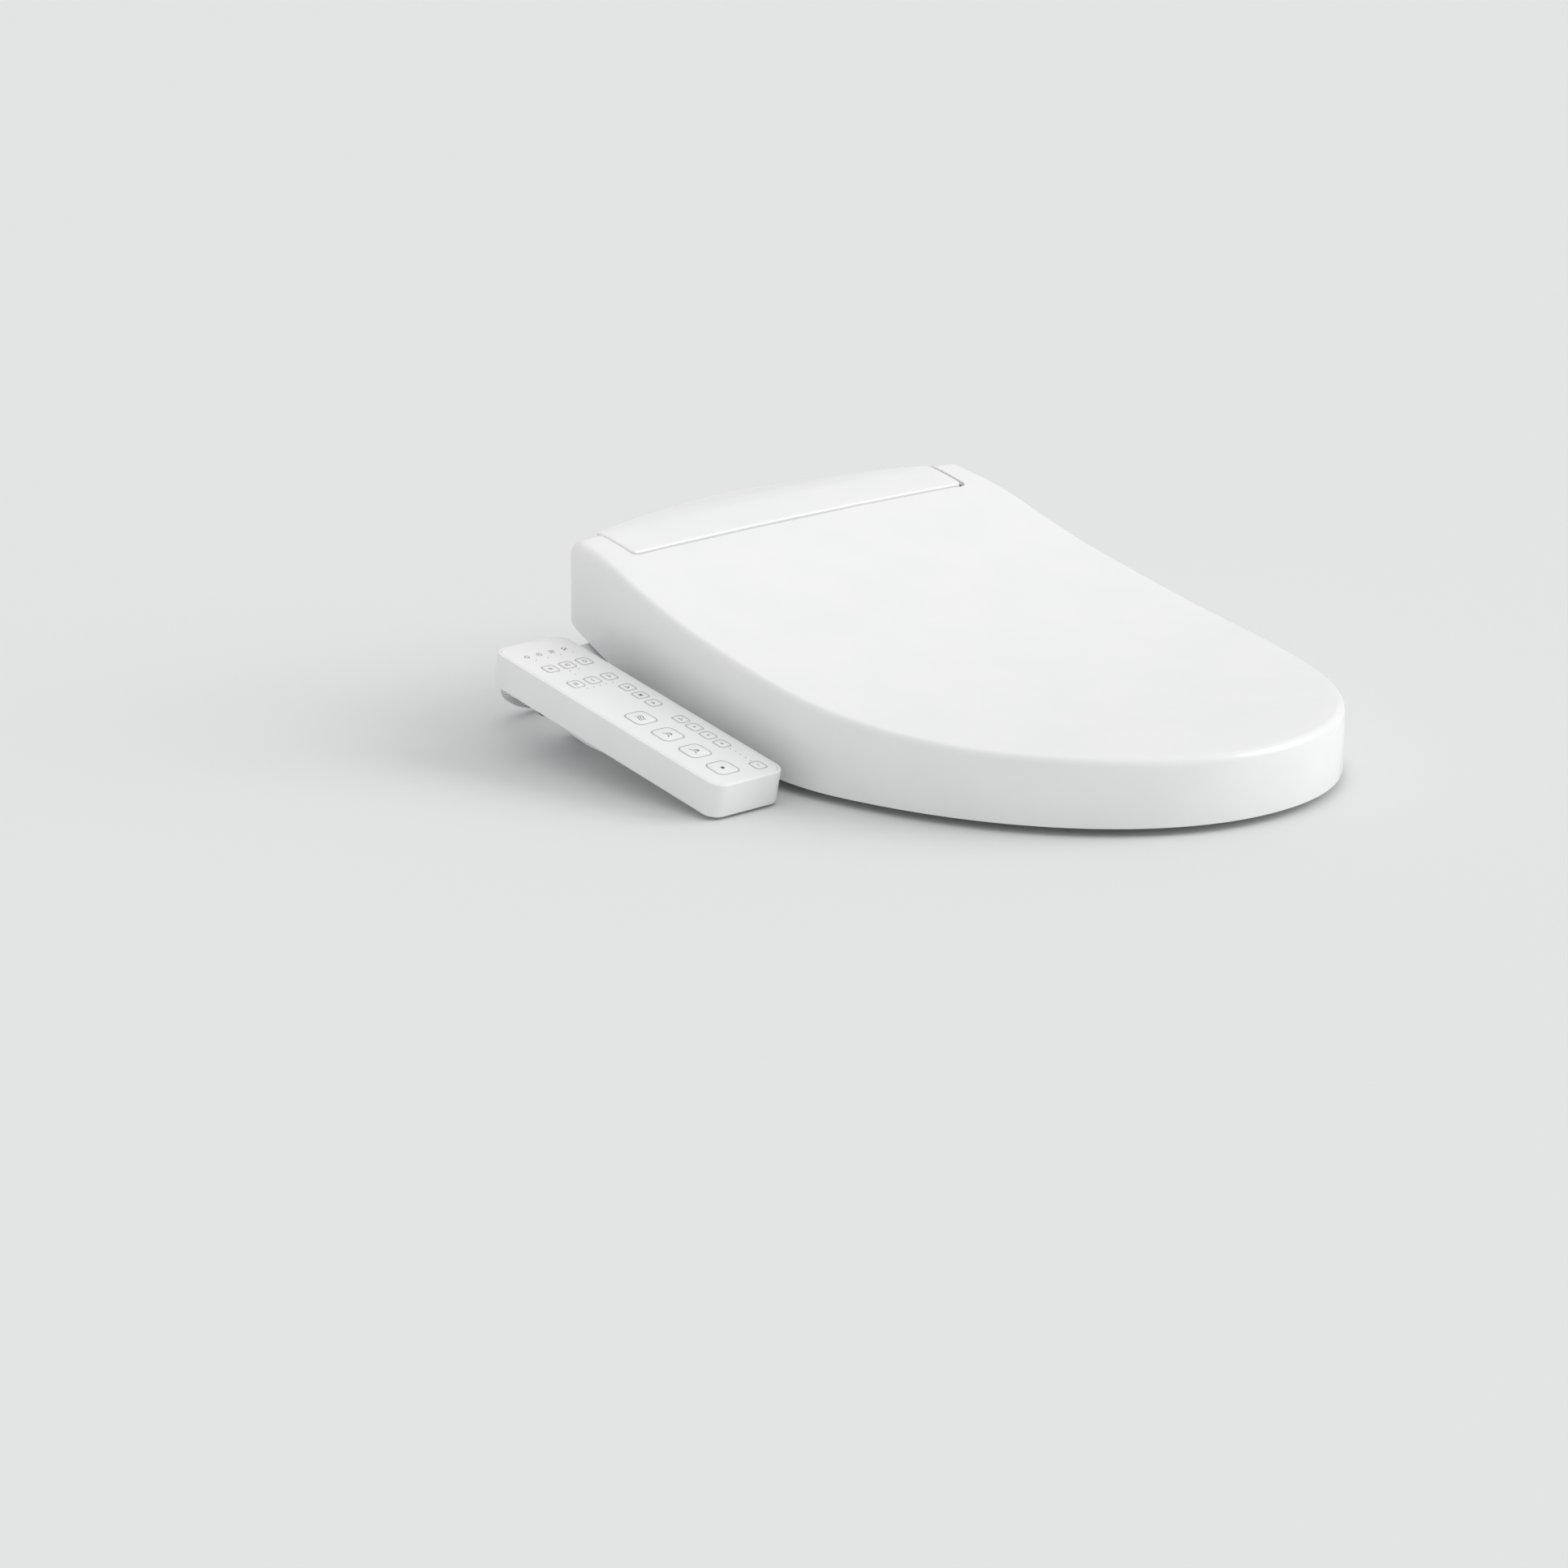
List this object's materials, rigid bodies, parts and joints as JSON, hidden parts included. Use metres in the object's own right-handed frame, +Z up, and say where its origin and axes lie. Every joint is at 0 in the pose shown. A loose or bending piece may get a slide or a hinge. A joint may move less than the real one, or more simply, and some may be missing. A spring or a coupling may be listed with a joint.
{
  "type": "electric bidet seat",
  "caption": "Electric bidet seat with a soft-close lid, heated seat ring, rear wash unit, side control arm with keys, water hose and coiled mains lead.",
  "frame": {"origin": "on the rim plane that the seat rests on, midway between the two fixing bolts", "axes": "+Z up, +X to the sitter's left, -Y to the front of the seat; the control arm is at -X"},
  "size_m": [0.4682, 0.6453, 0.1316],
  "materials": {
    "gloss_white": "gloss",
    "satin_white": "satin",
    "light_grey": "matte",
    "dark_grey": "matte",
    "chrome": "polished",
    "grey_rubber": "matte",
    "hose_braid": "woven",
    "cord_white": "satin",
    "cream_plastic": "matte",
    "board_green": "satin"
  },
  "bodies": {
    "main_unit": {"top_plate": "gloss_white", "upper_casing": "gloss_white", "arm_housing": "gloss_white", "lower_casing": "satin_white", "face_plate": "satin_white", "fixing_bolt_left": "satin_white", "fixing_bolt_right": "satin_white", "strain_relief": "satin_white", "mains_plug": "satin_white", "base_plate": "light_grey", "hinge_damper_left": "light_grey", "hinge_damper_right": "light_grey", "wand_cradle": "light_grey", "inlet_valve": "light_grey", "arm_base": "light_grey", "water_block": "light_grey", "wand_motor": "dark_grey", "heater_tank": "dark_grey", "dryer_fan": "dark_grey", "drain_cap_1": "dark_grey", "drain_cap_2": "dark_grey", "junction_valve": "dark_grey", "inlet_coupling": "chrome", "water_hose": "hose_braid", "mains_lead": "cord_white", "mains_coil": "cord_white", "mains_tail": "cord_white", "branch_nut": "cream_plastic", "control_board": "board_green"},
    "seat": {"seat_top": "gloss_white", "seat_base": "satin_white", "seat_arm_left": "satin_white", "seat_arm_right": "satin_white", "seat_bumper_front_left": "grey_rubber", "seat_bumper_front_right": "grey_rubber", "seat_bumper_rear_left": "grey_rubber", "seat_bumper_rear_right": "grey_rubber"},
    "lid": {"lid": "gloss_white", "lid_bumper_left": "grey_rubber", "lid_bumper_right": "grey_rubber"},
    "wand": {"nozzle_wand": "gloss_white"},
    "flap": {"dryer_flap": "satin_white"},
    "key_stop": {"key_stop": "satin_white"},
    "key_rear_wash": {"key_rear_wash": "satin_white"},
    "key_front_wash": {"key_front_wash": "satin_white"},
    "key_dryer": {"key_dryer": "satin_white"},
    "key_pressure_down": {"key_pressure_down": "satin_white"},
    "key_pressure_up": {"key_pressure_up": "satin_white"},
    "key_position_front": {"key_position_front": "satin_white"},
    "key_position_rear": {"key_position_rear": "satin_white"},
    "key_oscillate": {"key_oscillate": "satin_white"},
    "key_pulse": {"key_pulse": "satin_white"},
    "key_soft_wash": {"key_soft_wash": "satin_white"},
    "key_rinse": {"key_rinse": "satin_white"},
    "key_power_save": {"key_power_save": "satin_white"},
    "key_timer": {"key_timer": "satin_white"},
    "key_deodorise": {"key_deodorise": "satin_white"},
    "key_seat_heat": {"key_seat_heat": "satin_white"},
    "key_water_heat": {"key_water_heat": "satin_white"},
    "key_air_heat": {"key_air_heat": "satin_white"}
  },
  "joints": [
    {"name": "seat_hinge", "type": "hinge", "parent": "main_unit", "child": "seat", "pos_m": [0, 0.034, 0.106], "axis": [-1, 0, 0], "range_deg": [0, 105]},
    {"name": "lid_hinge", "type": "hinge", "parent": "seat", "child": "lid", "pos_m": [0, 0.034, 0.106], "axis": [1, 0, 0], "range_deg": [-105, 0]},
    {"name": "wand_slide", "type": "slide", "parent": "main_unit", "child": "wand", "axis": [0, -0.848, -0.5299], "range_m": [0, 0.085]},
    {"name": "flap_hinge", "type": "hinge", "parent": "main_unit", "child": "flap", "pos_m": [-0.045, -0.0612, 0.0232], "axis": [-1, 0, 0], "range_deg": [0, 35], "stiffness_Nm_per_rad": 0.01, "springref_deg": -5.73},
    {"name": "key_stop_press", "type": "slide", "parent": "main_unit", "child": "key_stop", "axis": [0, 0.2139, -0.9769], "range_m": [0, 0.0008], "stiffness_N_per_m": 500, "springref_m": -0.001},
    {"name": "key_rear_wash_press", "type": "slide", "parent": "main_unit", "child": "key_rear_wash", "axis": [0, 0.2139, -0.9769], "range_m": [0, 0.0008], "stiffness_N_per_m": 500, "springref_m": -0.001},
    {"name": "key_front_wash_press", "type": "slide", "parent": "main_unit", "child": "key_front_wash", "axis": [0, 0.2139, -0.9769], "range_m": [0, 0.0008], "stiffness_N_per_m": 500, "springref_m": -0.001},
    {"name": "key_dryer_press", "type": "slide", "parent": "main_unit", "child": "key_dryer", "axis": [0, 0.2139, -0.9769], "range_m": [0, 0.0008], "stiffness_N_per_m": 500, "springref_m": -0.001},
    {"name": "key_pressure_down_press", "type": "slide", "parent": "main_unit", "child": "key_pressure_down", "axis": [0, 0.2139, -0.9769], "range_m": [0, 0.0008], "stiffness_N_per_m": 500, "springref_m": -0.001},
    {"name": "key_pressure_up_press", "type": "slide", "parent": "main_unit", "child": "key_pressure_up", "axis": [0, 0.2139, -0.9769], "range_m": [0, 0.0008], "stiffness_N_per_m": 500, "springref_m": -0.001},
    {"name": "key_position_front_press", "type": "slide", "parent": "main_unit", "child": "key_position_front", "axis": [0, 0.2139, -0.9769], "range_m": [0, 0.0008], "stiffness_N_per_m": 500, "springref_m": -0.001},
    {"name": "key_position_rear_press", "type": "slide", "parent": "main_unit", "child": "key_position_rear", "axis": [0, 0.2139, -0.9769], "range_m": [0, 0.0008], "stiffness_N_per_m": 500, "springref_m": -0.001},
    {"name": "key_oscillate_press", "type": "slide", "parent": "main_unit", "child": "key_oscillate", "axis": [0, 0.2139, -0.9769], "range_m": [0, 0.0008], "stiffness_N_per_m": 500, "springref_m": -0.001},
    {"name": "key_pulse_press", "type": "slide", "parent": "main_unit", "child": "key_pulse", "axis": [0, 0.2139, -0.9769], "range_m": [0, 0.0008], "stiffness_N_per_m": 500, "springref_m": -0.001},
    {"name": "key_soft_wash_press", "type": "slide", "parent": "main_unit", "child": "key_soft_wash", "axis": [0, 0.2139, -0.9769], "range_m": [0, 0.0008], "stiffness_N_per_m": 500, "springref_m": -0.001},
    {"name": "key_rinse_press", "type": "slide", "parent": "main_unit", "child": "key_rinse", "axis": [0, 0.2139, -0.9769], "range_m": [0, 0.0008], "stiffness_N_per_m": 500, "springref_m": -0.001},
    {"name": "key_power_save_press", "type": "slide", "parent": "main_unit", "child": "key_power_save", "axis": [0, 0.2139, -0.9769], "range_m": [0, 0.0008], "stiffness_N_per_m": 500, "springref_m": -0.001},
    {"name": "key_timer_press", "type": "slide", "parent": "main_unit", "child": "key_timer", "axis": [0, 0.2139, -0.9769], "range_m": [0, 0.0008], "stiffness_N_per_m": 500, "springref_m": -0.001},
    {"name": "key_deodorise_press", "type": "slide", "parent": "main_unit", "child": "key_deodorise", "axis": [0, 0.2139, -0.9769], "range_m": [0, 0.0008], "stiffness_N_per_m": 500, "springref_m": -0.001},
    {"name": "key_seat_heat_press", "type": "slide", "parent": "main_unit", "child": "key_seat_heat", "axis": [0, 0.2139, -0.9769], "range_m": [0, 0.0008], "stiffness_N_per_m": 500, "springref_m": -0.001},
    {"name": "key_water_heat_press", "type": "slide", "parent": "main_unit", "child": "key_water_heat", "axis": [0, 0.2139, -0.9769], "range_m": [0, 0.0008], "stiffness_N_per_m": 500, "springref_m": -0.001},
    {"name": "key_air_heat_press", "type": "slide", "parent": "main_unit", "child": "key_air_heat", "axis": [0, 0.2139, -0.9769], "range_m": [0, 0.0008], "stiffness_N_per_m": 500, "springref_m": -0.001}
  ]
}
